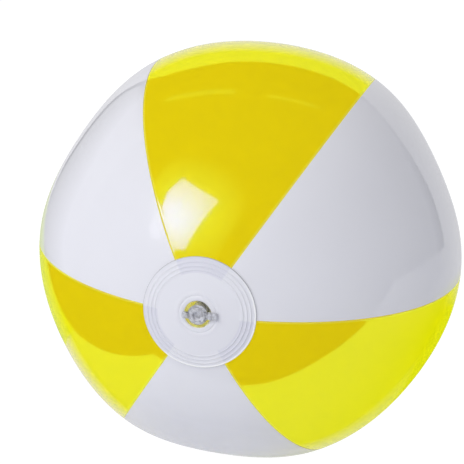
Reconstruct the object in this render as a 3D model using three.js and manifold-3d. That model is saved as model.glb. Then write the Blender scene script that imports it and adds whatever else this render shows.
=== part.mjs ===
// Inflated beach ball: six welded vinyl gores, two polar discs and a push-in valve with a captive stopper.
// Millimetres, +Z up. The origin is the middle of the small patch on which the ball stands.
// The pole axis lies level, with the valve looking along -Y.

import * as THREE from 'three';
import { mergeVertices } from 'three/addons/utils/BufferGeometryUtils.js';
import Module from 'manifold-3d';

const wasm = await Module();
wasm.setup();

// Clearance between two layers that are welded, or two pieces that are seated on each other
const WELD_GAP = 0.3;

// Shell of the ball
const SEAM_RADIUS = 142;          // from the centre to a seam
const WHITE_FLATTENING = 4.1;     // how far the middle of a white gore lies inside the seam radius
const YELLOW_FLATTENING = 2.1;    // the same for the softer yellow film, which swells more
const FILM = 0.25;                // thickness of the gores
const SEAM_LAP = 5;               // how far a yellow margin runs under the white edge
const STEP_RUN = 1;               // length over which the yellow film steps down to its margin
const GORE_TURN_DEG = -4.34;      // turn of the gores about the pole axis
const CONTACT_DEPTH = 0.5;        // how far the ball's own weight flattens it on the floor

// Polar discs
const DISC_RADIUS = 35.3;         // along the surface, from the pole to the rim
const DISC_FILM = 0.5;
const DISC_LAP = 9.4;             // how far a disc runs over the ends of the gores
const WELD_RING_COUNT = 3;
const WELD_RING_INSET = 3.2;      // from the rim to the first ring
const WELD_RING_PITCH = 2.5;
const WELD_RING_WIDTH = 1.3;
const WELD_RING_HEIGHT = 0.45;

// Valve stem, the tube that the ball is blown up through
const BORE_RADIUS = 3.3;
const STEM_WALL = 1.3;
const LIP_RADIUS = 0.4;           // rounding of the mouth
const MOUTH_RISE = 0.6;           // how far the mouth stands out of the disc's outer face
const RIM_WIDTH = 1.6;            // how far the rim round the mouth stands out from the stem
const RIM_THICKNESS = 1.2;
const COLLAR_RIM = 0.8;           // how far the collar stands out from the stem
const COLLAR_HEIGHT = 1.2;
const STEM_TAIL = 8.4;            // from the middle of the collar to the stem's inner end

// Stopper
const HEAD_OVERHANG = 0.4;        // past the stem's outside
const HEAD_THICKNESS = 1.6;
const HEAD_EDGE_RADIUS = 0.5;
const PLUG_CLEARANCE = 0.3;       // between the plug and the bore
const PLUG_SHOULDER = 1.6;        // straight part under the head
const PLUG_TAPER = 0.15;          // how much the shoulder narrows
const PLUG_NOSE = 2.8;            // rounded part below the shoulder
const TAB_LENGTH = 4.4;           // past the head's edge
const TAB_WIDTH = 4.6;
const TAB_THICKNESS = 1.1;

// Strap that keeps the stopper on the stem's rim. It runs out over the disc and back in a loop to a thin hinge.
const STRAP_WIDTH = 4.2;
const STRAP_THICKNESS = 0.7;
const STRAP_LIFT = 0.45;          // from the disc's outer face to the middle of the loop's lower run
const STRAP_FOOT_DROP = 0.4;      // from the lower run's middle down to the middle of the foot
const LOOP_REACH = 3.35;          // from the hinge line to the outside of the loop
const HINGE_REACH = 4;            // from the head's edge to the hinge line

// Valve base: a flange welded under the disc and a soft skirt, pushed in like a crater
const WELL_CLEARANCE = 2.3;       // from the stem's rim to the edge of the hole in the disc
const FLANGE_WIDTH = 6;           // how far the flange runs under the disc, outwards from the hole
const SKIRT_WALL = 0.6;
const SKIRT_DEPTH = 11;           // from the flange down to the stem's collar
const SKIRT_ROLL = 1.5;           // how far the skirt runs on inwards before it turns down
const SKIRT_BOWL = 2.4;           // how far the skirt's floor runs out from the collar before it turns up

// Check flap on the inner end of the stem
const FLAP_SEAT = 0.9;            // how far the flap covers the stem's end face round the bore
const FLAP_THICKNESS = 0.5;
const FLAP_TONGUE_WIDTH = 3;
const FLAP_TONGUE_LENGTH = 0.45;  // past the flap's round edge, up to its hinge end

// Facets
const GORE_COLUMNS = 8;
const GORE_ROWS = 24;
const CONTACT_LINES = [0.35, 0.68, 0.94]; // grid lines each side of the contact patch, as shares of its reach
const DISC_SEGMENTS = 36;
const DISC_STEPS = 4;
const VALVE_SEGMENTS = 24;
const CURVE_STEPS = 9;
const ARC_STEPS = 2;

// The gores round the pole axis, seen from the valve, anticlockwise from the top
const GORES = [
  { name: 'yellow_gore_top', white: false },
  { name: 'white_gore_upper_left', white: true },
  { name: 'yellow_gore_lower_left', white: false },
  { name: 'white_gore_bottom', white: true },
  { name: 'yellow_gore_lower_right', white: false },
  { name: 'white_gore_upper_right', white: true },
];

// Places that follow from the sizes. Radii are from the pole axis, heights along it from the ball's centre.
const halfGore = Math.PI / GORES.length;
const goreEnd = (DISC_RADIUS - DISC_LAP) / SEAM_RADIUS;
const discInside = SEAM_RADIUS + WELD_GAP;
const discOutside = discInside + DISC_FILM;
const flangeRadius = SEAM_RADIUS - SKIRT_WALL / 2;

const stemRadius = BORE_RADIUS + STEM_WALL;
const collarRadius = stemRadius + COLLAR_RIM;
const collarHeight = flangeRadius - SKIRT_DEPTH;
const collarTop = collarHeight + COLLAR_HEIGHT / 2;
const mouthHeight = discOutside + MOUTH_RISE;
const stemEnd = collarHeight - STEM_TAIL;
const rimRadius = stemRadius + RIM_WIDTH;

const headRadius = stemRadius + HEAD_OVERHANG;
const headUnderside = mouthHeight + WELD_GAP;
const headMiddle = headUnderside + HEAD_THICKNESS / 2;
const headTop = headUnderside + HEAD_THICKNESS;
const hingeRadius = headRadius + HINGE_REACH;
const hingeHeight = headMiddle + TAB_THICKNESS / 2;
const wellRadius = rimRadius + WELL_CLEARANCE;

// Angle of a gore's middle about the pole axis, from +X
function goreMiddle(index) {
  return Math.PI / 2 + THREE.MathUtils.degToRad(GORE_TURN_DEG) + index * 2 * halfGore;
}

// Turn from a gore's middle to straight down
function turnToFloor(index) {
  const turn = -Math.PI / 2 - goreMiddle(index);
  return Math.atan2(Math.sin(turn), Math.cos(turn));
}

// Radius of a gore's outer face at a turn from its middle. It is full at the seams and flatter between them.
function goreRadius(gore, turn, colatitude) {
  const flattening = gore.white ? WHITE_FLATTENING : YELLOW_FLATTENING;
  const share = Math.min(1, Math.abs(turn) / halfGore);
  const swell = Math.cos(share * Math.PI / 2) ** 2 * Math.sin(colatitude) ** 2;
  return SEAM_RADIUS - flattening * swell;
}

// The gore that the ball stands on, and the half angle of the patch that its weight flattens
const standing = GORES.findIndex((gore, index) => Math.abs(turnToFloor(index)) <= halfGore);
const standingRadius = goreRadius(GORES[standing], turnToFloor(standing), Math.PI / 2);
const centreHeight = standingRadius - CONTACT_DEPTH;
const contactReach = Math.acos(centreHeight / standingRadius);

// Closed solid between two grids of points. pointAt(column, row, layer) gives layer 0, outside, and 1, inside.
function filmSolid(columns, rows, pointAt) {
  const positions = [];
  for (const layer of [0, 1]) {
    for (let c = 0; c < columns; c++) {
      for (let r = 0; r < rows; r++) positions.push(...pointAt(c, r, layer).toArray());
    }
  }
  const at = (c, r, layer) => (layer * columns + c) * rows + r;
  const faces = [];
  for (let c = 0; c < columns - 1; c++) {
    for (let r = 0; r < rows - 1; r++) {
      faces.push(at(c, r, 0), at(c, r + 1, 0), at(c + 1, r, 0));
      faces.push(at(c + 1, r, 0), at(c, r + 1, 0), at(c + 1, r + 1, 0));
      faces.push(at(c, r, 1), at(c + 1, r, 1), at(c, r + 1, 1));
      faces.push(at(c + 1, r, 1), at(c + 1, r + 1, 1), at(c, r + 1, 1));
    }
  }
  const rim = [];
  for (let r = 0; r < rows - 1; r++) rim.push([0, r]);
  for (let c = 0; c < columns - 1; c++) rim.push([c, rows - 1]);
  for (let r = rows - 1; r > 0; r--) rim.push([columns - 1, r]);
  for (let c = columns - 1; c > 0; c--) rim.push([c, 0]);
  rim.forEach(([c, r], i) => {
    const [nextC, nextR] = rim[(i + 1) % rim.length];
    faces.push(at(nextC, nextR, 0), at(c, r, 0), at(c, r, 1));
    faces.push(at(nextC, nextR, 0), at(c, r, 1), at(nextC, nextR, 1));
  });
  const geometry = new THREE.BufferGeometry();
  geometry.setAttribute('position', new THREE.Float32BufferAttribute(positions, 3));
  geometry.setIndex(faces);
  return geometry;
}

// Evenly spaced grid lines. Those over a contact patch give way to the patch's own, closer lines.
function gridLines(low, high, count, patch) {
  const spacing = (high - low) / count;
  const even = Array.from({ length: count + 1 }, (_, i) => low + spacing * i);
  if (!patch) return even;
  const clear = even.filter((x) => Math.abs(x - patch.middle) > patch.reach + spacing / 4);
  const sides = CONTACT_LINES.flatMap((share) => [-share, share]);
  const lines = [0, ...sides].map((share) => patch.middle + share * patch.reach);
  return [...clear, ...lines].sort((a, b) => a - b);
}

// Columns of a gore's grid. Each lies half a gore plus a reach along the surface from the middle, on its side.
// A white gore ends at its seam. A yellow one steps down and runs on as a margin under its white neighbour.
function goreColumns(gore, floorTurn) {
  const mainReach = gore.white ? -SEAM_LAP : -(WELD_GAP + STEP_RUN);
  const mainHalf = halfGore + mainReach / SEAM_RADIUS;
  const patch = floorTurn !== null && { middle: floorTurn / mainHalf, reach: contactReach / mainHalf };
  const main = gridLines(-1, 1, GORE_COLUMNS, patch).map((side) => ({ side, reach: mainReach, inset: 0 }));
  const inset = FILM + WELD_GAP;
  const edges = gore.white
    ? [{ reach: 0, inset: 0 }]
    : [{ reach: -WELD_GAP, inset }, { reach: SEAM_LAP, inset }];
  const right = edges.map((edge) => ({ side: 1, ...edge }));
  const left = edges.map((edge) => ({ side: -1, ...edge })).reverse();
  return [...left, ...main, ...right];
}

// One gore, from the disc at one pole to the disc at the other, with the floor's flat pressed into it
function goreGeometry(gore, index) {
  const floorTurn = index === standing ? turnToFloor(index) : null;
  const columns = goreColumns(gore, floorTurn);
  const patch = index === standing && { middle: Math.PI / 2, reach: contactReach };
  const rows = gridLines(goreEnd, Math.PI - goreEnd, GORE_ROWS, patch);
  return filmSolid(columns.length, rows.length, (c, r, layer) => {
    const { side, reach, inset } = columns[c];
    const turn = side * (halfGore + reach / (SEAM_RADIUS * Math.sin(rows[r])));
    const depth = inset + layer * FILM;
    const radius = goreRadius(gore, turn, rows[r]) - depth;
    const fromAxis = radius * Math.sin(rows[r]);
    const angle = goreMiddle(index) + turn;
    const floor = depth - centreHeight;
    return new THREE.Vector3(
      fromAxis * Math.cos(angle),
      Math.max(fromAxis * Math.sin(angle), floor),
      radius * Math.cos(rows[r]),
    );
  });
}

// Solid of revolution about the pole axis, from an outline of (radius, height) points
function revolve(outline, segments) {
  return new THREE.LatheGeometry(outline, segments).rotateX(Math.PI / 2);
}

// Solid from an outline in the plane of the pole axis and +X, of a width along Y
function extrudeAcross(shape, width) {
  const geometry = new THREE.ExtrudeGeometry(shape, { depth: width, bevelEnabled: false });
  return geometry.rotateX(Math.PI / 2).translate(0, width / 2, 0);
}

// Solid from an outline square to the pole axis, of a thickness about a height
function extrudeAlong(shape, height, thickness) {
  const geometry = new THREE.ExtrudeGeometry(shape, {
    depth: thickness, bevelEnabled: false, curveSegments: ARC_STEPS * 4,
  });
  return geometry.translate(0, 0, height - thickness / 2);
}

// Closed anticlockwise outline of a strip of even thickness along a line of points
function stripOutline(points, thickness) {
  const sides = [1, -1].map((side) => points.map((point, i) => {
    const before = points[Math.max(i - 1, 0)];
    const after = points[Math.min(i + 1, points.length - 1)];
    const along = after.clone().sub(before).normalize();
    const across = new THREE.Vector2(-along.y, along.x);
    return point.clone().addScaledVector(across, side * thickness / 2);
  }));
  const outline = [...sides[0], ...sides[1].reverse()];
  return THREE.ShapeUtils.isClockWise(outline) ? outline.reverse() : outline;
}

// Joins closed geometries into one
function join(...geometries) {
  const solids = geometries.map((geometry) => {
    geometry.deleteAttribute('normal');
    geometry.deleteAttribute('uv');
    const merged = mergeVertices(geometry, 1e-4);
    const corners = merged.index.array;
    const triangles = [];
    for (let i = 0; i < corners.length; i += 3) {
      const [a, b, c] = corners.slice(i, i + 3);
      if (a !== b && b !== c && c !== a) triangles.push(a, b, c);
    }
    return new wasm.Manifold(new wasm.Mesh({
      numProp: 3,
      vertProperties: new Float32Array(merged.attributes.position.array),
      triVerts: new Uint32Array(triangles),
    }));
  });
  const mesh = solids.reduce((whole, solid) => whole.add(solid)).getMesh();
  const geometry = new THREE.BufferGeometry();
  geometry.setAttribute('position', new THREE.Float32BufferAttribute(mesh.vertProperties, 3));
  geometry.setIndex(Array.from(mesh.triVerts));
  return geometry;
}

// Point of a spherical cap, an arc away from the pole along the ball's surface
function capPoint(radius, arc) {
  const angle = arc / SEAM_RADIUS;
  return new THREE.Vector2(radius * Math.sin(angle), radius * Math.cos(angle));
}

// Outline of a polar disc: its inner face outwards to the rim, then its outer face back over the weld rings
function discOutline(holeArc) {
  const inner = [];
  for (let i = 0; i <= DISC_STEPS; i++) {
    inner.push(capPoint(discInside, THREE.MathUtils.lerp(holeArc, DISC_RADIUS, i / DISC_STEPS)));
  }
  const outer = [capPoint(discOutside, DISC_RADIUS)];
  let plainEnd = DISC_RADIUS;
  for (let ring = 0; ring < WELD_RING_COUNT; ring++) {
    const middle = DISC_RADIUS - WELD_RING_INSET - ring * WELD_RING_PITCH;
    plainEnd = middle - WELD_RING_WIDTH / 2;
    outer.push(capPoint(discOutside, middle + WELD_RING_WIDTH / 2));
    outer.push(capPoint(discOutside + WELD_RING_HEIGHT, middle));
    outer.push(capPoint(discOutside, plainEnd));
  }
  for (let i = 1; i <= DISC_STEPS; i++) {
    outer.push(capPoint(discOutside, THREE.MathUtils.lerp(plainEnd, holeArc, i / DISC_STEPS)));
  }
  return [...inner, ...outer];
}

function rearDiscGeometry() {
  return revolve(discOutline(0), DISC_SEGMENTS).rotateX(Math.PI);
}

function valveDiscGeometry() {
  const outline = discOutline(wellRadius);
  return revolve([...outline, outline[0]], DISC_SEGMENTS);
}

// Flange under the disc, rolled over the edge of the well into a skirt that ends at the stem's collar
function valveBaseGeometry() {
  const outer = capPoint(flangeRadius, wellRadius + FLANGE_WIDTH);
  const edge = capPoint(flangeRadius, wellRadius);
  const end = new THREE.Vector2(collarRadius + WELD_GAP, collarHeight);
  const skirt = new THREE.CubicBezierCurve(
    edge,
    capPoint(flangeRadius, wellRadius - SKIRT_ROLL),
    new THREE.Vector2(end.x + SKIRT_BOWL, end.y),
    end,
  );
  const outline = stripOutline([outer, ...skirt.getPoints(CURVE_STEPS)], SKIRT_WALL);
  return revolve([...outline, outline[0]], VALVE_SEGMENTS);
}

// Tube with a rimmed, rounded mouth and the collar that the skirt holds
function stemGeometry() {
  const lip = Math.min(LIP_RADIUS, STEM_WALL * 0.4);
  const path = new THREE.Path();
  path.moveTo(BORE_RADIUS, stemEnd);
  path.lineTo(stemRadius, stemEnd);
  path.lineTo(stemRadius, collarTop - COLLAR_HEIGHT);
  path.lineTo(collarRadius, collarTop - COLLAR_HEIGHT);
  path.lineTo(collarRadius, collarTop);
  path.lineTo(stemRadius, collarTop);
  path.lineTo(stemRadius, mouthHeight - RIM_THICKNESS);
  path.lineTo(rimRadius, mouthHeight - RIM_THICKNESS);
  path.lineTo(rimRadius, mouthHeight - lip);
  path.absarc(rimRadius - lip, mouthHeight - lip, lip, 0, Math.PI / 2);
  path.lineTo(BORE_RADIUS + lip, mouthHeight);
  path.absarc(BORE_RADIUS + lip, mouthHeight - lip, lip, Math.PI / 2, Math.PI);
  path.lineTo(BORE_RADIUS, stemEnd);
  return revolve(path.getPoints(ARC_STEPS), VALVE_SEGMENTS);
}

// Round-nosed plug and its head, turned in one piece
function plugGeometry() {
  const plugRadius = BORE_RADIUS - PLUG_CLEARANCE;
  const noseRadius = plugRadius - PLUG_TAPER;
  const noseTop = headUnderside - PLUG_SHOULDER;
  const edge = Math.min(HEAD_EDGE_RADIUS, HEAD_THICKNESS * 0.4);
  const path = new THREE.Path();
  path.moveTo(0, noseTop - PLUG_NOSE);
  path.absellipse(0, noseTop, noseRadius, PLUG_NOSE, -Math.PI / 2, 0);
  path.lineTo(plugRadius, headUnderside);
  path.lineTo(headRadius, headUnderside);
  path.lineTo(headRadius, headTop - edge);
  path.absarc(headRadius - edge, headTop - edge, edge, 0, Math.PI / 2);
  path.lineTo(0, headTop);
  return revolve(path.getPoints(ARC_STEPS), VALVE_SEGMENTS);
}

// Tongue on the side away from the strap, to pull the stopper by
function tabGeometry() {
  const half = TAB_WIDTH / 2;
  const roundMiddle = half - headRadius - TAB_LENGTH;
  const shape = new THREE.Shape();
  shape.moveTo(0, half);
  shape.lineTo(roundMiddle, half);
  shape.absarc(roundMiddle, 0, half, Math.PI / 2, Math.PI * 1.5);
  shape.lineTo(0, -half);
  return extrudeAlong(shape, headMiddle, TAB_THICKNESS);
}

// Ear from the head to the hinge line, level with the tab
function earGeometry() {
  const half = STRAP_WIDTH / 2;
  const end = hingeRadius - WELD_GAP / 2;
  const shape = new THREE.Shape();
  shape.moveTo(0, -half);
  shape.lineTo(end, -half);
  shape.lineTo(end, half);
  shape.lineTo(0, half);
  return extrudeAlong(shape, headMiddle, TAB_THICKNESS);
}

// Strap from the rim out over the disc, round a bend and back to the hinge, whose line lies on its upper face
function strapGeometry() {
  const lower = discOutside + STRAP_LIFT;
  const upper = hingeHeight - STRAP_THICKNESS / 2;
  const bend = (upper - lower) / 2;
  const bendMiddle = hingeRadius + LOOP_REACH - STRAP_THICKNESS / 2 - bend;
  const foot = new THREE.Vector2(rimRadius + WELD_GAP, lower - STRAP_FOOT_DROP);
  const path = new THREE.Path();
  path.moveTo(foot.x, foot.y);
  path.bezierCurveTo(foot.x + STRAP_THICKNESS, foot.y, wellRadius - STRAP_THICKNESS, lower, wellRadius, lower);
  path.lineTo(bendMiddle, lower);
  path.absarc(bendMiddle, lower + bend, bend, -Math.PI / 2, Math.PI / 2);
  path.lineTo(hingeRadius + WELD_GAP / 2, upper);
  const shape = new THREE.Shape(stripOutline(path.getPoints(ARC_STEPS * 4), STRAP_THICKNESS));
  return extrudeAcross(shape, STRAP_WIDTH);
}

// Round flap over the bore's inner end, with a tongue at the top where it bends
function flapGeometry() {
  const radius = BORE_RADIUS + FLAP_SEAT;
  const half = FLAP_TONGUE_WIDTH / 2;
  const top = radius + FLAP_TONGUE_LENGTH;
  const angle = Math.acos(half / radius);
  const shape = new THREE.Shape();
  shape.moveTo(half, top);
  shape.lineTo(-half, top);
  shape.absarc(0, 0, radius, Math.PI - angle, 2 * Math.PI + angle);
  return extrudeAlong(shape, stemEnd - WELD_GAP - FLAP_THICKNESS / 2, FLAP_THICKNESS);
}

function vinyl(colour, roughness, opacity = 1) {
  return new THREE.MeshStandardMaterial({
    color: colour, roughness, metalness: 0, opacity, transparent: opacity < 1,
  });
}

const yellowVinyl = () => vinyl(0xe0cc12, 0.22);
const whiteVinyl = () => vinyl(0xe4e4ea, 0.25);
const clearVinyl = () => vinyl(0xc9ccd2, 0.15, 0.55);

function piece(name, geometry, material) {
  const mesh = new THREE.Mesh(geometry, material);
  mesh.name = name;
  return mesh;
}

const shell = new THREE.Group();
GORES.forEach((gore, index) => {
  shell.add(piece(gore.name, goreGeometry(gore, index), gore.white ? whiteVinyl() : yellowVinyl()));
});
shell.add(piece('valve_disc', valveDiscGeometry(), whiteVinyl()));
shell.add(piece('rear_disc', rearDiscGeometry(), whiteVinyl()));

const valve = new THREE.Group();
valve.add(piece('valve_base', valveBaseGeometry(), clearVinyl()));
valve.add(piece('valve_stem', stemGeometry(), clearVinyl()));
valve.add(piece('stopper', join(plugGeometry(), tabGeometry(), earGeometry()), clearVinyl()));
valve.add(piece('stopper_strap', strapGeometry(), clearVinyl()));
valve.add(piece('check_flap', flapGeometry(), clearVinyl()));

const ball = new THREE.Group();
ball.add(shell, valve);
ball.rotation.x = Math.PI / 2;
ball.position.z = centreHeight;

export default new THREE.Group().add(ball);
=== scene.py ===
"""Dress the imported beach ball: welded film gores, pole discs, push-in valve, studio and camera."""

import logging
import math
from collections.abc import Sequence
from dataclasses import dataclass
from enum import Enum

import bmesh
import bpy
from bmesh.types import BMEdge, BMesh, BMFace, BMVert
from bpy.types import ID, Material, Node, NodeSocket, Object, World
from mathutils import Matrix, Vector
from mathutils.geometry import interpolate_bezier


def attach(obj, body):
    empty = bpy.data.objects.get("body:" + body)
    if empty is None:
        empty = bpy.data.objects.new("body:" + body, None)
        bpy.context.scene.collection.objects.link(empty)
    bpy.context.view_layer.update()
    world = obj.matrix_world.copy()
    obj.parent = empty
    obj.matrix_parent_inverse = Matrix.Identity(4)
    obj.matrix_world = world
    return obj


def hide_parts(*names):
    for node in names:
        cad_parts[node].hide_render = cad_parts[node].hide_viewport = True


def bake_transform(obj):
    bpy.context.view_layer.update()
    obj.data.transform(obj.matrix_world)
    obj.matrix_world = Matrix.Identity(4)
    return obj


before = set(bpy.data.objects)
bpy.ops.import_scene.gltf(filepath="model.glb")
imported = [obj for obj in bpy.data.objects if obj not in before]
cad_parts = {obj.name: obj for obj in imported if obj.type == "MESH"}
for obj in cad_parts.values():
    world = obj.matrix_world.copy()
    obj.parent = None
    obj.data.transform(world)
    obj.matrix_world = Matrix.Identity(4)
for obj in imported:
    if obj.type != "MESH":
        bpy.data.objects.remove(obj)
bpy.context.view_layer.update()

LOG = logging.getLogger("beach_ball")
MM = 0.001
CREASE = math.radians(38)
NOISE_LOW = 0.35
NOISE_HIGH = 0.65
FINE_DETAIL = 3.0
PLAIN_DETAIL = 1.0
Colour = tuple[float, float, float]
Spot = tuple[float, float, float]
Pair = tuple[float, float]
Table = Sequence[Pair]
WHITE: Colour = (1.0, 1.0, 1.0)


class Tint(Enum):
    """The two colours of film that take turns round the ball."""

    YELLOW = "yellow_vinyl"
    WHITE = "white_vinyl"


class Reach(Enum):
    """Which pieces a card of the studio shines on."""

    YELLOW_FILM = "INCLUDE"
    ALL_BUT_YELLOW = "EXCLUDE"


class Pole(Enum):
    """The end of the pole axis that a disc closes."""

    VALVE = 1
    REAR = -1


def smooth_step(low: float, high: float, value: float) -> float:
    """Rise smoothly from 0 at low to 1 at high."""
    share = min(max((value - low) / (high - low), 0.0), 1.0)
    return share * share * (3 - 2 * share)


def add_object(name: str, data: ID) -> Object:
    """Put a mesh, a lamp or a camera in the scene.

    Args:
        name: The object's name.
        data: What it holds.

    Returns:
        The object.
    """
    thing = bpy.data.objects.new(name, data)
    bpy.context.collection.objects.link(thing)
    return thing


@dataclass(frozen=True)
class BallForm:
    """The blown-up form that all the film follows, in millimetres round the pole axis."""

    seam_radius: float = 142.0
    centre_height: float = 137.608
    gore_turn: float = math.radians(-4.34)
    half_gore: float = math.pi / 6
    gore_end_arc: float = 25.9
    gore_end: float = gore_end_arc / seam_radius
    hole_arc: float = 8.5
    flange_arc: float = 14.5
    white_flattening: float = 4.1
    yellow_flattening: float = 2.1

    def to_world(self) -> Matrix:
        """Return the move from the pole axis in millimetres to the row's frame in metres."""
        turn = Matrix.Rotation(math.pi / 2, 4, "X")
        return Matrix.Translation(self.centre()) @ turn @ Matrix.Scale(MM, 4)

    def gore_radius(self, turn: float, colatitude: float, flattening: float) -> float:
        """Give the outside of a gore, which is flatter in its middle than at its seams.

        Args:
            turn: Angle from the gore's middle line round the pole axis.
            colatitude: Angle from the valve's pole.
            flattening: How far the middle of the gore lies inside the seams.

        Returns:
            The radius of the film's outside.
        """
        share = min(abs(turn) / self.half_gore, 1.0)
        sag = math.cos(share * math.pi / 2) ** 2 * math.sin(colatitude) ** 2
        return self.seam_radius - flattening * sag

    def from_middle(self, angle: float) -> tuple[Tint, float]:
        """Tell which film lies at an angle round the pole axis.

        Args:
            angle: Angle from +X towards +Z in the row's frame.

        Returns:
            The film's tint and the angle from the middle of its gore.
        """
        index = round((angle - self.middle(0)) / (2 * self.half_gore))
        tint = Tint.YELLOW if index % 2 == 0 else Tint.WHITE
        return tint, angle - self.middle(index)

    def flattening(self, tint: Tint) -> float:
        """Return how far the middle of a gore of this tint lies inside the seams."""
        return self.yellow_flattening if tint is Tint.YELLOW else self.white_flattening

    def on_cap(self, radius: float, arc: float) -> Pair:
        """Return the distance from the axis and the height of a point at an arc from the pole."""
        angle = arc / self.seam_radius
        return radius * math.sin(angle), radius * math.cos(angle)

    def middle(self, order: int) -> float:
        """Return the angle of a gore's middle round the pole axis, by its order from the top."""
        return math.pi / 2 + self.gore_turn + order * 2 * self.half_gore

    def centre(self) -> Vector:
        """Return the ball's centre in the row's frame."""
        return Vector((0, 0, self.centre_height * MM))


FORM = BallForm()


@dataclass(frozen=True)
class GlossGain:
    """The share of gloss on a film, face on and towards the rim, by one less the angle's cosine."""

    face_on: float
    aslant: float
    start: float
    end: float


@dataclass(frozen=True)
class Ripple:
    """The slight unevenness of a sheet: length and height in millimetres, and how much of it shows."""

    size: float
    depth: float
    strength: float


class Board:
    """The nodes of a material or a world, with short calls to place and join them."""

    def __init__(self, holder: Material | World, output: str = "ShaderNodeOutputMaterial") -> None:
        """Clear the nodes and start with the output.

        Args:
            holder: The material or the world.
            output: The output node's type name.
        """
        holder.use_nodes = True
        self.holder = holder
        self.tree = holder.node_tree
        self.tree.nodes.clear()
        self.output = self.tree.nodes.new(output)

    def fill(self, socket: NodeSocket, value: object) -> None:
        """Set an input, or link it.

        Args:
            socket: The input.
            value: The number or the colour that it is set to, or the output that it is linked to.
        """
        if isinstance(value, NodeSocket):
            self.tree.links.new(value, socket)
        else:
            socket.default_value = (*value, 1.0) if socket.type == "RGBA" else value

    def node(self, kind: str, *inputs: object, **values: object) -> Node:
        """Place a node.

        Args:
            kind: The node's type name.
            inputs: What its first inputs take, in order.
            values: Its settings and other inputs, with underscores for spaces in their names.

        Returns:
            The new node.
        """
        made = self.tree.nodes.new(kind)
        for label, value in values.items():
            if hasattr(made, label):
                setattr(made, label, value)
            else:
                self.fill(made.inputs[label.replace("_", " ")], value)
        for socket, value in zip(made.inputs, inputs):
            self.fill(socket, value)
        return made

    def out(self, kind: str, label: str | int, *inputs: object, **values: object) -> NodeSocket:
        """Place a node and return one of its outputs."""
        return self.node(kind, *inputs, **values).outputs[label]

    def grain(self, size: float, detail: float = 2.0) -> NodeSocket:
        """Place a noise on the piece's own coordinates, with grains of a size in millimetres."""
        place = self.out("ShaderNodeTexCoord", "Object")
        return self.out("ShaderNodeTexNoise", "Fac", Vector=place, Scale=1 / (size * MM), Detail=detail)

    def mark(self, name: str) -> NodeSocket:
        """Read a mark from 0 to 1 that is kept on the mesh."""
        return self.out("ShaderNodeAttribute", "Fac", attribute_name=name)

    def ramp(self, source: NodeSocket, start: float, end: float, low: float, high: float) -> NodeSocket:
        """Map the values from start to end to those from low to high, and stop there."""
        span = {"From_Min": start, "From_Max": end, "To_Min": low, "To_Max": high}
        return self.out("ShaderNodeMapRange", "Result", Value=source, **span)

    def spread(self, source: NodeSocket, low: float, high: float) -> NodeSocket:
        """Stretch the middle of a noise from low to high."""
        return self.ramp(source, NOISE_LOW, NOISE_HIGH, low, high)

    def most(self, first: NodeSocket, second: NodeSocket) -> NodeSocket:
        """Return the larger of two values."""
        return self.out("ShaderNodeMath", 0, first, second, operation="MAXIMUM")

    def blend(self, share: NodeSocket, first: Colour | NodeSocket, second: Colour) -> NodeSocket:
        """Mix two colours by a varying share.

        Args:
            share: The share of the second colour.
            first: The colour at share 0, or an output that gives it.
            second: The colour at share 1.

        Returns:
            The mixed colour's output.
        """
        mix = self.node("ShaderNodeMix", data_type="RGBA")
        for index, value in ((0, share), (6, first), (7, second)):
            self.fill(mix.inputs[index], value)
        return mix.outputs[2]

    def bump(self, ripple: Ripple) -> NodeSocket:
        """Make a sheet's slight unevenness and return the bumped normal."""
        form = {"Strength": ripple.strength, "Distance": ripple.depth * MM}
        return self.out("ShaderNodeBump", "Normal", Height=self.grain(ripple.size), **form)

    def shine(self, colour: Colour, blur: float | NodeSocket, uneven: NodeSocket) -> Node:
        """Place a gloss by its colour, its roughness and its normal."""
        return self.node("ShaderNodeBsdfGlossy", Color=colour, Roughness=blur, Normal=uneven)

    def layer(self, share: float | NodeSocket, under: Node, over: Node) -> Node:
        """Mix two shaders by the share of the second."""
        return self.node("ShaderNodeMixShader", share, under.outputs[0], over.outputs[0])

    def coat(self, under: Node, gloss: Node, gain: GlossGain) -> Node:
        """Lay a gloss over a shader, which grows where the surface is seen aslant."""
        aslant = self.out("ShaderNodeLayerWeight", "Facing", Blend=0.5)
        return self.layer(self.ramp(aslant, gain.start, gain.end, gain.face_on, gain.aslant), under, gloss)

    def finish(self, shader: Node) -> Material | World:
        """Put a shader on the surface and return what has it."""
        self.fill(self.output.inputs["Surface"], shader.outputs[0])
        return self.holder


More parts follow.
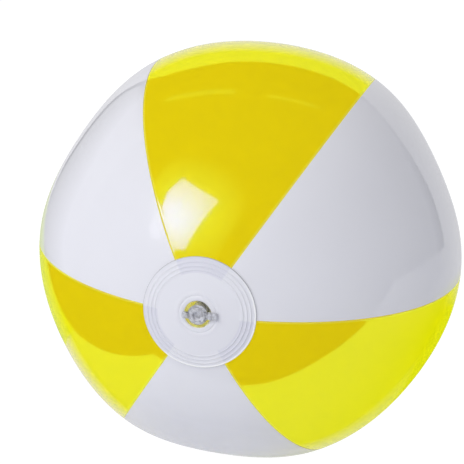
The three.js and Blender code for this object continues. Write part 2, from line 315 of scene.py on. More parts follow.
@dataclass(frozen=True)
class YellowFilm:
    """See-through yellow film, which mirrors in its own colour and glows with the light inside."""

    name: str = "yellow_film"
    body: Colour = (0.938, 0.757, 0.006)
    stretched: Colour = (0.968, 0.783, 0.007)
    cloud_size: float = 60.0
    welded: Colour = (0.98, 0.93, 0.17)
    glow: Colour = (0.985, 0.797, 0.006)
    through: float = 0.6
    sheen: Colour = (0.36, 0.95, 0.0)
    sheen_share: float = 0.13
    sheen_blur: float = 0.035
    haze_share: float = 0.05
    haze_low: float = 0.08
    haze_high: float = 0.2
    mottle_size: float = 1.1
    mirror: Colour = (0.5, 0.5, 0.5)
    mirror_blur: float = 0.07
    ripple: Ripple = Ripple(9.0, 0.02, 0.06)
    gloss: GlossGain = GlossGain(face_on=0.03, aslant=0.78, start=0.69, end=0.965)

    def material(self) -> Material:
        """Mix the film.

        Returns:
            Its material.
        """
        board = Board(bpy.data.materials.new(self.name))
        cloudy = board.blend(board.grain(self.cloud_size), self.body, self.stretched)
        film = board.blend(board.mark("weld"), cloudy, self.welded)
        vinyl = board.node("ShaderNodeBsdfDiffuse", Color=film)
        glow = board.node("ShaderNodeBsdfTranslucent", Color=self.glow)
        mottle = board.spread(board.grain(self.mottle_size, FINE_DETAIL), self.haze_low, self.haze_high)
        uneven = board.bump(self.ripple)
        gloss = board.shine(self.mirror, self.mirror_blur, uneven)
        lit = board.layer(self.through, vinyl, glow)
        lit = board.layer(self.sheen_share, lit, board.shine(self.sheen, self.sheen_blur, uneven))
        lit = board.layer(self.haze_share, lit, board.shine(self.sheen, mottle, uneven))
        return board.finish(board.coat(lit, gloss, self.gloss))


@dataclass(frozen=True)
class InnerSkin:
    """The inside face of the yellow film, which lets all the light through to its outside face."""

    name: str = "yellow_film_inside"

    def material(self) -> Material:
        """Return the skin's material."""
        board = Board(bpy.data.materials.new(self.name))
        return board.finish(board.node("ShaderNodeBsdfTransparent"))


@dataclass(frozen=True)
class WhiteFilm:
    """Glossy opaque white film, greyer where a disc is welded down on yellow, with a painted glow on one
    side of a disc's rim and painted shade along its rim wall.
    """

    name: str = "white_film"
    body: Colour = (0.815, 0.815, 0.876)
    stretched: Colour = (0.845, 0.845, 0.9)
    pressed: Colour = (0.735, 0.735, 0.82)
    # Painted glow for one side of a disc's rim, and painted shade for its rim wall.
    edge_glow_colour: Colour = (0.97, 0.97, 0.985)
    rim_wall_shade: Colour = (0.52, 0.52, 0.56)
    cloud_size: float = 60.0
    mirror: Colour = (0.5, 0.5, 0.51)
    clear_gloss: float = 0.03
    hazy_gloss: float = 0.07
    mottle_size: float = 1.3
    ripple: Ripple = Ripple(9.0, 0.02, 0.3)
    gloss: GlossGain = GlossGain(face_on=0.05, aslant=0.65, start=0.53, end=0.98)

    def material(self) -> Material:
        """Mix the film.

        Returns:
            Its material.
        """
        board = Board(bpy.data.materials.new(self.name))
        tone = board.blend(board.grain(self.cloud_size), self.body, self.stretched)
        for mark, colour in (("lap_shade", self.pressed), ("painted_edge_glow", self.edge_glow_colour), ("painted_rim_shade", self.rim_wall_shade)):
            tone = board.blend(board.mark(mark), tone, colour)
        vinyl = board.node("ShaderNodeBsdfDiffuse", Color=tone)
        mottle = board.spread(board.grain(self.mottle_size, FINE_DETAIL), self.clear_gloss, self.hazy_gloss)
        gloss = board.shine(self.mirror, mottle, board.bump(self.ripple))
        return board.finish(board.coat(vinyl, gloss, self.gloss))


@dataclass(frozen=True)
class MouldedVinyl:
    """Moulded vinyl of the valve, clear in the skirt and smoky in the thicker pieces, with painted light and
    dark streaks that stand for the lines refraction draws in clear vinyl.
    """

    name: str
    # Dark and light tones of the painted refraction streaks.
    dark: Colour
    light: Colour
    clearness: float
    streak: float = 2.0
    # Paler, less clear tone that the skirt takes on one side, where its mark says.
    pale_tone: Colour = (0.93, 0.93, 0.96)
    pale_clearness: float = 0.2
    glint: Colour = WHITE
    glint_blur: float = 0.06
    ripple: Ripple = Ripple(2.5, 0.02, 0.4)
    gloss: GlossGain = GlossGain(face_on=0.04, aslant=0.3, start=0.5, end=1.0)

    def material(self) -> Material:
        """Mix the vinyl.

        Returns:
            Its material.
        """
        board = Board(bpy.data.materials.new(self.name))
        # Painted streaks: a noise mixes the dark and light tones into streaks that stand for the bright and
        # dark lines of refraction.
        streaks = board.spread(board.grain(self.streak, PLAIN_DETAIL), 0.0, 1.0)
        # One side of the skirt is mixed toward a paler, less clear tone by its mark.
        pale_tone = board.mark("pale_side")
        tone = board.blend(pale_tone, board.blend(streaks, self.dark, self.light), self.pale_tone)
        vinyl = board.node("ShaderNodeBsdfDiffuse", Color=tone)
        clear = board.node("ShaderNodeBsdfTransparent")
        body = board.layer(board.spread(pale_tone, self.clearness, self.pale_clearness), vinyl, clear)
        gloss = board.shine(self.glint, self.glint_blur, board.bump(self.ripple))
        return board.finish(board.coat(body, gloss, self.gloss))


@dataclass(frozen=True)
class Finishes:
    """The materials that the pieces share."""

    yellow: Material
    inside: Material
    white: Material
    disc: Material
    clear: Material
    smoky: Material

    @classmethod
    def mix(cls) -> "Finishes":
        """Make every finish once.

        Returns:
            The finishes.
        """
        return cls(
            YellowFilm().material(),
            InnerSkin().material(),
            WhiteFilm().material(),
            WhiteFilm(
                "white_disc_film",
                body=(0.805, 0.805, 0.865),
                stretched=(0.805, 0.805, 0.865),
                gloss=GlossGain(0.02, 0.65, 0.53, 0.98),
            ).material(),
            MouldedVinyl("clear_moulded_vinyl", (0.72, 0.72, 0.75), (0.95, 0.95, 0.97), 0.8).material(),
            MouldedVinyl("smoky_moulded_vinyl", (0.47, 0.47, 0.51), (0.84, 0.85, 0.92), 0.25).material(),
        )


def make_piece(name: str, bm: BMesh, *finishes: Material) -> Object:
    """Turn a finished bmesh on the pole axis into an object at the origin.

    Args:
        name: The piece's name.
        bm: The shape in millimetres round the pole axis, freed here.
        finishes: The materials of its slots.

    Returns:
        The object, smooth with its creases kept.
    """
    bmesh.ops.transform(bm, matrix=FORM.to_world(), verts=bm.verts[:])
    for face in bm.faces:
        face.smooth = True
    for edge in bm.edges:
        edge.smooth = len(edge.link_faces) != 2 or edge.calc_face_angle(0.0) < CREASE
    mesh = bpy.data.meshes.new(name)
    bm.to_mesh(mesh)
    bm.free()
    for finish in finishes:
        mesh.materials.append(finish)
    return add_object(name, mesh)


def draw_line(bm: BMesh, points: Table, closed: bool = False) -> None:
    """Draw a line in the plane of one meridian, by extruding its last vertex from point to point.

    Args:
        bm: The mesh that it is drawn in.
        points: Pairs of distance from the axis and height along it.
        closed: Whether its end is joined to its start.
    """
    across, height = points[0]
    first = last = bm.verts.new((across, 0, height))
    for across, height in points[1:]:
        last = bmesh.ops.extrude_vert_indiv(bm, verts=[last])["verts"][0]
        last.co = (across, 0, height)
    if closed:
        bm.edges.new((last, first))


def along_cap(points: Table, pitch: float = 2.0) -> list[Pair]:
    """Follow the ball's cap.

    Args:
        points: Pairs of arc from the pole and radius.
        pitch: The longest arc between two points of the line.

    Returns:
        The line's points, as pairs of distance from the axis and height along it.
    """
    line = [FORM.on_cap(points[0][1], points[0][0])]
    for (arc, radius), (next_arc, next_radius) in zip(points, points[1:]):
        pieces = max(1, math.ceil(abs(next_arc - arc) / pitch))
        for step in range(1, pieces + 1):
            share = step / pieces
            mid_arc = arc + (next_arc - arc) * share
            line.append(FORM.on_cap(radius + (next_radius - radius) * share, mid_arc))
    return line


def lathe(bm: BMesh, steps: int) -> None:
    """Spin what is drawn once round the pole axis, close it and turn its faces outwards.

    Args:
        bm: The drawn outline, spun in place.
        steps: The number of steps round the axis.
    """
    drawn = bm.verts[:] + bm.edges[:]
    bmesh.ops.spin(
        bm, geom=drawn, cent=(0, 0, 0), axis=(0, 0, 1), angle=math.tau, steps=steps, use_merge=True
    )
    bmesh.ops.remove_doubles(bm, verts=bm.verts[:], dist=1e-4)
    bmesh.ops.dissolve_degenerate(bm, dist=1e-5, edges=bm.edges[:])
    bmesh.ops.recalc_face_normals(bm, faces=bm.faces[:])


def round_corners(bm: BMesh, radius: float, segments: int = 3) -> None:
    """Bevel every crease of a moulding.

    Args:
        bm: The moulding.
        radius: The width of the bevel in millimetres.
        segments: The number of faces across it.
    """
    creases = [edge for edge in bm.edges if edge.is_manifold and edge.calc_face_angle(0.0) > CREASE]
    bmesh.ops.bevel(
        bm, geom=creases, offset=radius, segments=segments, profile=0.5, affect="EDGES", material=-1,
        clamp_overlap=True,
    )


def parts(made: dict[str, list], kind: type) -> list:
    """Pick the vertices, the edges or the faces out of what an operator made."""
    return [part for part in made["geom"] if isinstance(part, kind)]


def pull_out(bm: BMesh, step: Spot) -> None:
    """Extrude a sheet into a solid and turn its faces outwards.

    Args:
        bm: The sheet, made solid in place.
        step: How far and which way it is pulled.
    """
    made = bmesh.ops.extrude_face_region(bm, geom=bm.faces[:])
    bmesh.ops.translate(bm, vec=step, verts=parts(made, BMVert))
    bmesh.ops.recalc_face_normals(bm, faces=bm.faces[:])


@dataclass
class Gore:
    """One gore of film, lapped over or under its neighbours and welded to them."""

    name: str
    node: str
    order: int
    tint: Tint
    finishes: Finishes
    film: float = 0.25
    rows: int = 300
    columns: int = 64
    weld_start: float = -1.5
    weld_full: float = -1.15
    inward: float = -0.5

    WHITE_EDGE = ((-4.5, 0.0), (-3.2, 0.0), (-2.3, -0.01), (-1.6, -0.015), (-1.0, 0.0),
                  (-0.55, 0.02), (-0.22, 0.015), (0.0, -0.04))
    YELLOW_EDGE = ((-4.5, 0.0), (-3.0, 0.0), (-2.2, 0.0), (-1.7, 0.005), (-1.35, 0.02),
                   (-1.1, 0.045), (-0.85, 0.05), (-0.6, 0.0), (-0.38, -0.12), (-0.15, -0.32),
                   (0.15, -0.36), (1.2, -0.36), (3.0, -0.36), (5.0, -0.36))

    def grid(self) -> BMesh:
        """Spin one vertex into a meridian, and the meridian into the gore's grid.

        Returns:
            The grid on a ball of radius 1, with its first column at angle 0.
        """
        bm = bmesh.new()
        start = FORM.gore_end
        seed = bm.verts.new((math.sin(start), 0, math.cos(start)))
        bmesh.ops.spin(
            bm, geom=[seed], cent=(0, 0, 0), axis=(0, 1, 0), angle=math.pi - 2 * start, steps=self.rows
        )
        meridian = bm.verts[:] + bm.edges[:]
        span = 2 * FORM.half_gore
        bmesh.ops.spin(
            bm, geom=meridian, cent=(0, 0, 0), axis=(0, 0, 1), angle=span, steps=self.column_count()
        )
        return bm

    def edge(self) -> Table:
        """Return the places and heights of the columns beside a seam."""
        return self.YELLOW_EDGE if self.tint is Tint.YELLOW else self.WHITE_EDGE

    def column_count(self) -> int:
        """Return the number of steps across the gore."""
        return self.columns + 2 * (len(self.edge()) - 1)

    def across(self, column: int, half_width: float) -> Pair:
        """Give a column's place across the gore.

        Args:
            column: The column's number, from 0.
            half_width: The arc from the gore's middle to its seam.

        Returns:
            The arc from the middle, and how far the film is lifted there.
        """
        strip = self.edge()
        last = len(strip) - 1
        from_right = self.column_count() - column
        nearest = min(column, from_right)
        if nearest <= last:
            past_seam, lift = strip[last - nearest]
            side = -1 if column < from_right else 1
            return side * (half_width + past_seam), lift
        share = 2 * (column - last) / self.columns - 1
        return share * (half_width + strip[0][0]), 0.0

    def shape(self, bm: BMesh) -> None:
        """Move the grid's vertices to the film's outside.

        Args:
            bm: The grid, shaped in place.
        """
        start = FORM.gore_end
        row_angle = (math.pi - 2 * start) / self.rows
        column_angle = 2 * FORM.half_gore / self.column_count()
        flattening = FORM.flattening(self.tint)
        weld = bm.verts.layers.float.new("weld")
        for vert in bm.verts:
            row = round((math.acos(max(-1.0, min(1.0, vert.co.z))) - start) / row_angle)
            column = round(math.atan2(vert.co.y, vert.co.x) / column_angle)
            colatitude = start + row * row_angle
            arc_per_turn = FORM.seam_radius * math.sin(colatitude)
            half_width = arc_per_turn * FORM.half_gore
            arc, lift = self.across(column, half_width)
            vert[weld] = smooth_step(self.weld_start, self.weld_full, abs(arc) - half_width)
            turn = arc / arc_per_turn
            radius = FORM.gore_radius(turn, colatitude, flattening) + lift
            angle = FORM.middle(self.order) + turn
            ring = radius * math.sin(colatitude)
            vert.co = (ring * math.cos(angle), ring * math.sin(angle), radius * math.cos(colatitude))
            vert.co.y = max(vert.co.y, -FORM.centre_height)

    def build(self) -> Object:
        """Make the gore's film and put it in place of its solid.

        Returns:
            The gore.
        """
        bm = self.grid()
        self.shape(bm)
        bmesh.ops.recalc_face_normals(bm, faces=bm.faces[:])
        middle = bm.faces[len(bm.faces) // 2]
        if middle.normal.dot(middle.calc_center_median()) < 0:
            bmesh.ops.reverse_faces(bm, faces=bm.faces[:])
        bmesh.ops.solidify(bm, geom=bm.faces[:], thickness=self.film)
        bm.normal_update()
        if self.tint is Tint.YELLOW:
            for face in bm.faces:
                outward = face.normal.dot(face.calc_center_median().normalized())
                face.material_index = int(outward < self.inward)
            piece = make_piece(self.name, bm, self.finishes.yellow, self.finishes.inside)
        else:
            piece = make_piece(self.name, bm, self.finishes.white)
        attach(piece, "shell")
        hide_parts(self.node)
        return piece


@dataclass
class PoleDisc:
    """A round disc of white film, welded over the gores' ends by three raised rings."""

    name: str
    node: str
    pole: Pole
    finishes: Finishes
    arc: float = 35.3
    groove_arc: float = 11.6
    groove_half: float = 0.6
    flange_rise: float = 0.18
    lap_arc: float = 25.1
    outside: float = 142.8
    inside: float = 142.28
    rim_inside: float = 142.1
    sag: float = 0.22
    ring_arcs: tuple[float, ...] = (27.1, 29.6, 32.1)
    ring_half: float = 0.38
    ring_height: float = 0.28
    yellow_drop: float = 0.16
    shade_start: float = -1.1
    shade_end: float = -0.2
    # Painted glow: the side of the rim that is painted bright, and how it fades round the rim.
    painted_glow_side: float = math.radians(-50)
    painted_glow_start: float = -0.2
    painted_glow_full: float = 0.5
    steps: int = 288

    RING = ((-1, 0.0), (-0.7, 0.3), (-0.35, 0.82), (0, 1.0), (0.35, 0.82), (0.7, 0.3), (1, 0.0))

    def top_points(self) -> list[Pair]:
        """List the outside of the disc from the gores' ends to its rim.

        Returns:
            Pairs of arc from the pole and radius.
        """
        top, lap, rim = self.outside, self.lap_arc, self.arc
        points = [(lap, top - self.sag), (lap + 0.5, top - 0.16), (lap + 0.9, top - 0.03), (lap + 1.2, top)]
        for arc in self.ring_arcs:
            for share, height in self.RING:
                points.append((arc + share * self.ring_half, top + height * self.ring_height))
        points += [(rim - 1.9, top), (rim - 1.3, top), (rim - 1.0, top + 0.12), (rim - 0.65, top + 0.24)]
        return points + [(rim - 0.3, top + 0.18), (rim - 0.1, top - 0.02), (rim, top - 0.35)]

    def draw(self, bm: BMesh) -> None:
        """Draw the disc's outline, with the hole for the valve on the valve's side.

        Args:
            bm: The mesh that it is drawn in.
        """
        top, under, inside = self.outside - self.sag, self.inside - self.sag, self.inside
        rim, lap = self.arc, self.lap_arc
        points = self.top_points() + [(rim - 0.02, self.rim_inside), (rim - 0.4, self.rim_inside)]
        points += [(rim - 2.3, inside), (lap + 0.9, inside), (lap + 0.2, under)]
        if self.pole is Pole.VALVE:
            hole, groove, half, flange = FORM.hole_arc, self.groove_arc, self.groove_half, FORM.flange_arc
            raised = top + self.flange_rise
            well = [(hole, under), (hole, top - 0.4), (hole + 0.06, top - 0.26), (hole + 0.25, top - 0.12)]
            well += [(hole + 0.7, top + 0.03), (hole + 1.3, top + 0.13), (hole + 2.0, raised)]
            well += [(groove - half, raised), (groove, top - 0.2), (groove + half, raised)]
            well += [(flange - 0.7, raised), (flange, top + 0.04), (flange + 0.7, top)]
            draw_line(bm, along_cap(well + points + [(hole + 1, under)]), closed=True)
        else:
            draw_line(bm, along_cap([(0, top)] + points + [(0, under)]))

    def press(self, bm: BMesh) -> None:
        """Press the lap down on the gores under it, mark its shade, and mark a painted glow on one side of
        its rim and painted shade along its rim wall.

        Args:
            bm: The disc, pressed in place.
        """
        shade = bm.verts.layers.float.new("lap_shade")
        edge_glow = bm.verts.layers.float.new("painted_edge_glow")
        rim_wall_shade = bm.verts.layers.float.new("painted_rim_shade")
        rim = self.arc
        for vert in bm.verts:
            radius = vert.co.length
            angle = math.atan2(vert.co.y, vert.co.x)
            colatitude = math.acos(min(1.0, abs(vert.co.z) / radius))
            arc = colatitude * FORM.seam_radius
            lap = smooth_step(self.lap_arc - 0.1, self.lap_arc + 1.1, arc)
            tint, turn = FORM.from_middle(angle)
            past_seam = (abs(turn) - FORM.half_gore) * FORM.seam_radius * math.sin(colatitude)
            sunk = FORM.gore_radius(turn, colatitude, FORM.flattening(tint)) - FORM.seam_radius
            inside_seam = 1 - smooth_step(self.shade_start, self.shade_end, past_seam)
            on_yellow = inside_seam if tint is Tint.YELLOW else 0.0
            vert.co *= (radius + lap * (sunk - on_yellow * self.yellow_drop)) / radius
            vert[shade] = lap * on_yellow
            # Painted light: the rim is painted bright on one side, and its wall is painted dark all round,
            # narrower on the bright side.
            side = math.cos(angle - self.painted_glow_side)
            bright = smooth_step(self.painted_glow_start, self.painted_glow_full, side)
            vert[edge_glow] = bright * smooth_step(rim - 1.25, rim - 0.95, arc)
            vert[rim_wall_shade] = smooth_step(rim - 0.55 + 0.3 * bright, rim - 0.25 + 0.2 * bright, arc)

    def build(self) -> Object:
        """Make the disc and put it in place of its solid.

        Returns:
            The disc.
        """
        bm = bmesh.new()
        self.draw(bm)
        lathe(bm, self.steps)
        if self.pole is Pole.REAR:
            over = Matrix.Rotation(math.pi, 3, "X")
            bmesh.ops.rotate(bm, cent=(0, 0, 0), matrix=over, verts=bm.verts[:])
        self.press(bm)
        piece = make_piece(self.name, bm, self.finishes.disc)
        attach(piece, "shell")
        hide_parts(self.node)
        return piece


@dataclass
class Valve:
    """The push-in valve: soft skirt, blow tube, captive stopper, its tie and the check flap."""

    finishes: Finishes
    bore: float = 3.3
    tube: float = 4.6
    rim: float = 6.2
    rim_low: float = 142.2
    mouth: float = 143.4
    collar: float = 5.4
    collar_low: float = 130.1
    collar_high: float = 131.3
    inner_end: float = 122.3
    tube_round: float = 0.3
    flange_radius: float = 141.7
    flange_pitch: float = 0.6
    skirt_wall: float = 0.3
    skirt_foot: float = 130.7
    skirt_roll: float = 1.5
    skirt_bowl: float = 2.7
    skirt_grip: float = 0.1
    skirt_steps: int = 30
    skirt_segments: int = 96
    # The side of the skirt that is made paler and less clear, and how its mark fades round the skirt.
    pale_side: float = math.radians(38)
    pale_start: float = 0.15
    pale_full: float = 0.4
    head: float = 5.0
    head_low: float = 143.7
    head_high: float = 145.3
    head_edge: float = 0.25
    plug: float = 3.0
    plug_taper: float = 0.15
    plug_shoulder: float = 1.6
    plug_end: float = 139.3
    nose_steps: int = 8
    hollow: float = 2.4
    hollow_lip: float = 0.3
    hollow_drop: float = 0.4
    hollow_taper: float = 0.15
    hollow_floor: float = 143.2
    groove: float = 3.9
    groove_half: float = 0.35
    groove_depth: float = 0.3
    stopper_round: float = 0.16
    tab_reach: float = 9.4
    tab_width: float = 4.6
    tab_crown: float = 0.9
    tab_rows: tuple[float, ...] = (0.4, 0.8, 1.0)
    hinge_reach: float = 9.0
    hinge_gap: float = 0.1
    tie_width: float = 4.2
    tie_wall: float = 0.7
    tie_foot: float = 142.85
    tie_low: float = 143.25
    tie_high: float = 144.7
    tie_gap: float = 0.2
    tie_round: float = 0.15
    tie_steps: int = 10
    loop_reach: float = 12.35
    loop_steps: int = 16
    flap: float = 4.2
    flap_low: float = 121.5
    flap_wall: float = 0.5
    flap_round: float = 0.12
    flap_segments: int = 64
    tongue_half: float = 1.55
    tongue_reach: float = 4.65
    segments: int = 72

    def skirt(self) -> Object:
        """Make the flange and the skirt that rolls from it down to the tube's collar.

        Returns:
            The skirt, which turns inside out between the shell and the tube.
        """
        bm = bmesh.new()
        ring = self.flange_radius
        line = along_cap(((FORM.flange_arc, ring), (FORM.hole_arc, ring)), self.flange_pitch)
        start = Vector(FORM.on_cap(ring, FORM.hole_arc))
        roll = Vector(FORM.on_cap(ring, FORM.hole_arc - self.skirt_roll))
        bowl = Vector((self.collar + self.skirt_bowl, self.skirt_foot))
        foot = Vector((self.collar - self.skirt_grip, self.skirt_foot))
        draw_line(bm, line + interpolate_bezier(start, roll, bowl, foot, self.skirt_steps + 1)[1:])
        lathe(bm, self.skirt_segments)
        bmesh.ops.solidify(bm, geom=bm.faces[:], thickness=self.skirt_wall)
        # Mark one side of the skirt, which the vinyl makes paler and less clear.
        pale_tone = bm.verts.layers.float.new("pale_side")
        for vert in bm.verts:
            off = math.atan2(vert.co.y, vert.co.x) - self.pale_side
            vert[pale_tone] = smooth_step(self.pale_start, self.pale_full, math.cos(off))
        piece = make_piece("valve_skirt", bm, self.finishes.clear)
        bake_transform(piece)
        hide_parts("valve_base")
        return piece

    def blow_tube(self) -> Object:
        """Make the tube that is blown into, with its rim and its collar.

        Returns:
            The tube.
        """
        bm = bmesh.new()
        line = [(self.bore, self.inner_end), (self.tube, self.inner_end), (self.tube, self.collar_low)]
        line += [(self.collar, self.collar_low), (self.collar, self.collar_high)]
        line += [(self.tube, self.collar_high), (self.tube, self.rim_low), (self.rim, self.rim_low)]
        draw_line(bm, line + [(self.rim, self.mouth), (self.bore, self.mouth)], closed=True)
        lathe(bm, self.segments)
        round_corners(bm, self.tube_round)
        piece = make_piece("blow_tube", bm, self.finishes.smoky)
        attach(piece, "stem")
        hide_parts("valve_stem")
        return piece

    def stopper(self) -> Object:
        """Make the plug with its dimpled head, pull tab and hinge ear.

        Returns:
            The stopper.
        """
        bm = bmesh.new()
        line = [(0, self.plug_end)]
        shoulder = self.head_low - self.plug_shoulder
        for step in range(1, self.nose_steps + 1):
            angle = math.pi / 2 * (1 - step / self.nose_steps)
            nose = (shoulder - self.plug_end) * math.sin(angle)
            line.append(((self.plug - self.plug_taper) * math.cos(angle), shoulder - nose))
        low, top, edge, head = self.head_low, self.head_high, self.head_edge, self.head
        line += [(self.plug, low), (head, low), (head, low + edge), (head, top - edge), (head, top)]
        groove, half = self.groove, self.groove_half
        line += [(groove + half, top), (groove, top - self.groove_depth), (groove - half, top)]
        line += [(self.hollow + self.hollow_lip, top), (self.hollow, top - self.hollow_drop)]
        line += [(self.hollow - self.hollow_taper, self.hollow_floor + self.hollow_lip)]
        draw_line(bm, line + [(0, self.hollow_floor)])
        lathe(bm, self.segments)
        self.grow_tab(bm, -1, self.tab_width / 2, self.tab_reach, self.tab_crown)
        self.grow_tab(bm, 1, self.tie_width / 2, self.hinge_reach - self.hinge_gap)
        round_corners(bm, self.stopper_round, 2)
        piece = make_piece("stopper_plug", bm, self.finishes.smoky)
        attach(piece, "plug")
        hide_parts("stopper")
        return piece

    def grow_tab(self, bm: BMesh, side: int, half: float, reach: float, crown: float = 0.0) -> None:
        """Extrude a tab from the wall of the stopper's head.

        Args:
            bm: The stopper.
            side: The side of the head along the X axis, -1 or 1.
            half: Half the tab's width.
            reach: How far its end lies from the axis.
            crown: How much shorter its corners are than its middle.
        """
        low, high = self.head_low + self.head_edge, self.head_high - self.head_edge
        wall = []
        for face in bm.faces:
            middle = face.calc_center_median()
            on_wall = low < middle.z < high and math.hypot(*middle.xy) > self.head - self.head_edge
            if on_wall and middle.x * side > 0 and abs(middle.y) < half:
                wall.append(face)
        for share in self.tab_rows:
            made = bmesh.ops.extrude_face_region(bm, geom=wall)
            wall = parts(made, BMFace)
            for vert in parts(made, BMVert):
                root = math.sqrt(max(self.head ** 2 - vert.co.y ** 2, 0.0))
                end = reach - crown * (vert.co.y / half) ** 2
                vert.co.x = side * (root + (end - root) * share)

    def tie_path(self) -> list[Vector]:
        """List the middle of the tie, from the rim out over the disc, round its loop and back.

        Returns:
            Pairs of distance from the axis and height.
        """
        foot = Vector((self.rim + self.tie_gap, self.tie_foot))
        lower = Vector((FORM.hole_arc, self.tie_low))
        lean = Vector((self.tie_wall, 0))
        radius = (self.tie_high - self.tie_low) / 2
        middle = Vector((self.loop_reach - self.tie_wall / 2 - radius, self.tie_low + radius))
        spots = interpolate_bezier(foot, foot + lean, lower - lean, lower, self.tie_steps + 1)
        for step in range(self.loop_steps + 1):
            angle = math.pi * (step / self.loop_steps - 0.5)
            spots.append(middle + radius * Vector((math.cos(angle), math.sin(angle))))
        spots.append(Vector((self.hinge_reach + self.hinge_gap, self.tie_high)))
        return spots

    def tie(self) -> Object:
        """Make the looped strap that ties the stopper to the tube's rim.

        Returns:
            The strap.
        """
        bm = bmesh.new()
        spots = self.tie_path()
        pairs = []
        for index, spot in enumerate(spots):
            run = spots[min(index + 1, len(spots) - 1)] - spots[max(index - 1, 0)]
            out = Vector((-run.y, run.x)).normalized() * self.tie_wall / 2
            pairs.append((spot - out, spot + out))
        near = -self.tie_width / 2
        edge = bm.edges.new([bm.verts.new((place.x, near, place.y)) for place in pairs[0]])
        for last, pair in zip(pairs, pairs[1:]):
            made = bmesh.ops.extrude_edge_only(bm, edges=[edge])
            edge = parts(made, BMEdge)[0]
            for vert in edge.verts:
                inner, outer = ((vert.co.xz - place).length for place in last)
                vert.co.x, vert.co.z = pair[0] if inner < outer else pair[1]
        pull_out(bm, (0, self.tie_width, 0))
        round_corners(bm, self.tie_round, 2)
        piece = make_piece("stopper_tie", bm, self.finishes.smoky)
        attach(piece, "stem")
        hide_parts("stopper_strap")
        return piece

    def check_flap(self) -> Object:
        """Make the soft flap that shuts the tube's inner end.

        Returns:
            The flap.
        """
        bm = bmesh.new()
        lift = Matrix.Translation((0, 0, self.flap_low))
        bmesh.ops.create_circle(
            bm, cap_ends=True, segments=self.flap_segments, radius=self.flap, matrix=lift
        )
        for vert in bm.verts:
            if vert.co.y > 0 and abs(vert.co.x) < self.tongue_half:
                vert.co.y = self.tongue_reach
        pull_out(bm, (0, 0, self.flap_wall))
        round_corners(bm, self.flap_round, 2)
        piece = make_piece("backflow_flap", bm, self.finishes.clear)
        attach(piece, "flap")
        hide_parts("check_flap")
        return piece

    def build(self) -> list[Object]:
        """Make every piece of the valve and return them."""
        return [self.skirt(), self.blow_tube(), self.stopper(), self.tie(), self.check_flap()]


@dataclass(frozen=True)
class Patch:
    """A round patch of another colour on a card of the studio."""

    centre: Spot
    near: float
    far: float
    colour: Colour
    around: Colour = WHITE

    def paint(self, board: Board) -> NodeSocket:
        """Paint the patch.

        Args:
            board: The card's nodes.

        Returns:
            The colour's output.
        """
        place = board.out("ShaderNodeTexCoord", "Object")
        gap = board.out("ShaderNodeVectorMath", "Value", place, self.centre, operation="DISTANCE")
        return board.blend(board.ramp(gap, self.near, self.far, 0.0, 1.0), self.colour, self.around)


def stage(name: str, bm: BMesh, material: Material) -> Object:
    """Put a piece of the studio in the scene.

    Args:
        name: Its name.
        bm: Its shape in metres, freed here.
        material: Its material.

    Returns:
        The object.
    """
    mesh = bpy.data.meshes.new(name)
    bm.to_mesh(mesh)
    bm.free()
    mesh.materials.append(material)
    thing = add_object(name, mesh)
    return thing


@dataclass(frozen=True)
class Card:
    """A bright card that only mirrors see, where a glow of 1 is white."""

    name: str
    glow: float
    corners: Sequence[Spot]
    patch: Patch | None = None
    reach: Reach | None = None
    clearness: float = 0.0

    def material(self) -> Material:
        """Mix the card's shine.

        Returns:
            Its material.
        """
        board = Board(bpy.data.materials.new(self.name))
        colour = self.patch.paint(board) if self.patch else WHITE
        shine = board.node("ShaderNodeEmission", Color=colour, Strength=self.glow)
        if self.clearness:
            shine = board.layer(1 - self.clearness, board.node("ShaderNodeBsdfTransparent"), shine)
        return board.finish(shine)

    def build(self, yellow_film: Sequence[Object]) -> None:
        """Stand the card up.

        Args:
            yellow_film: The pieces that its reach takes in or leaves out.
        """
        bm = bmesh.new()
        bm.faces.new([bm.verts.new(corner) for corner in self.corners])
        thing = stage(self.name, bm, self.material())
        thing.visible_camera = False
        thing.visible_diffuse = False
        thing.visible_shadow = False
        thing.visible_transmission = False
        if self.reach:
            group = bpy.data.collections.new(self.name)
            for film in yellow_film:
                group.objects.link(film)
            for entry in group.collection_objects:
                entry.light_linking.link_state = self.reach.value
            thing.light_linking.receiver_collection = group


def level(height: float, *places: Pair) -> list[Spot]:
    """Lay a card's corners level at a height."""
    return [(x, y, height) for x, y in places]


def upright(distance: float, *places: Pair) -> list[Spot]:
    """Stand a card's corners up at a distance behind the ball."""
    return [(x, distance, z) for x, z in places]


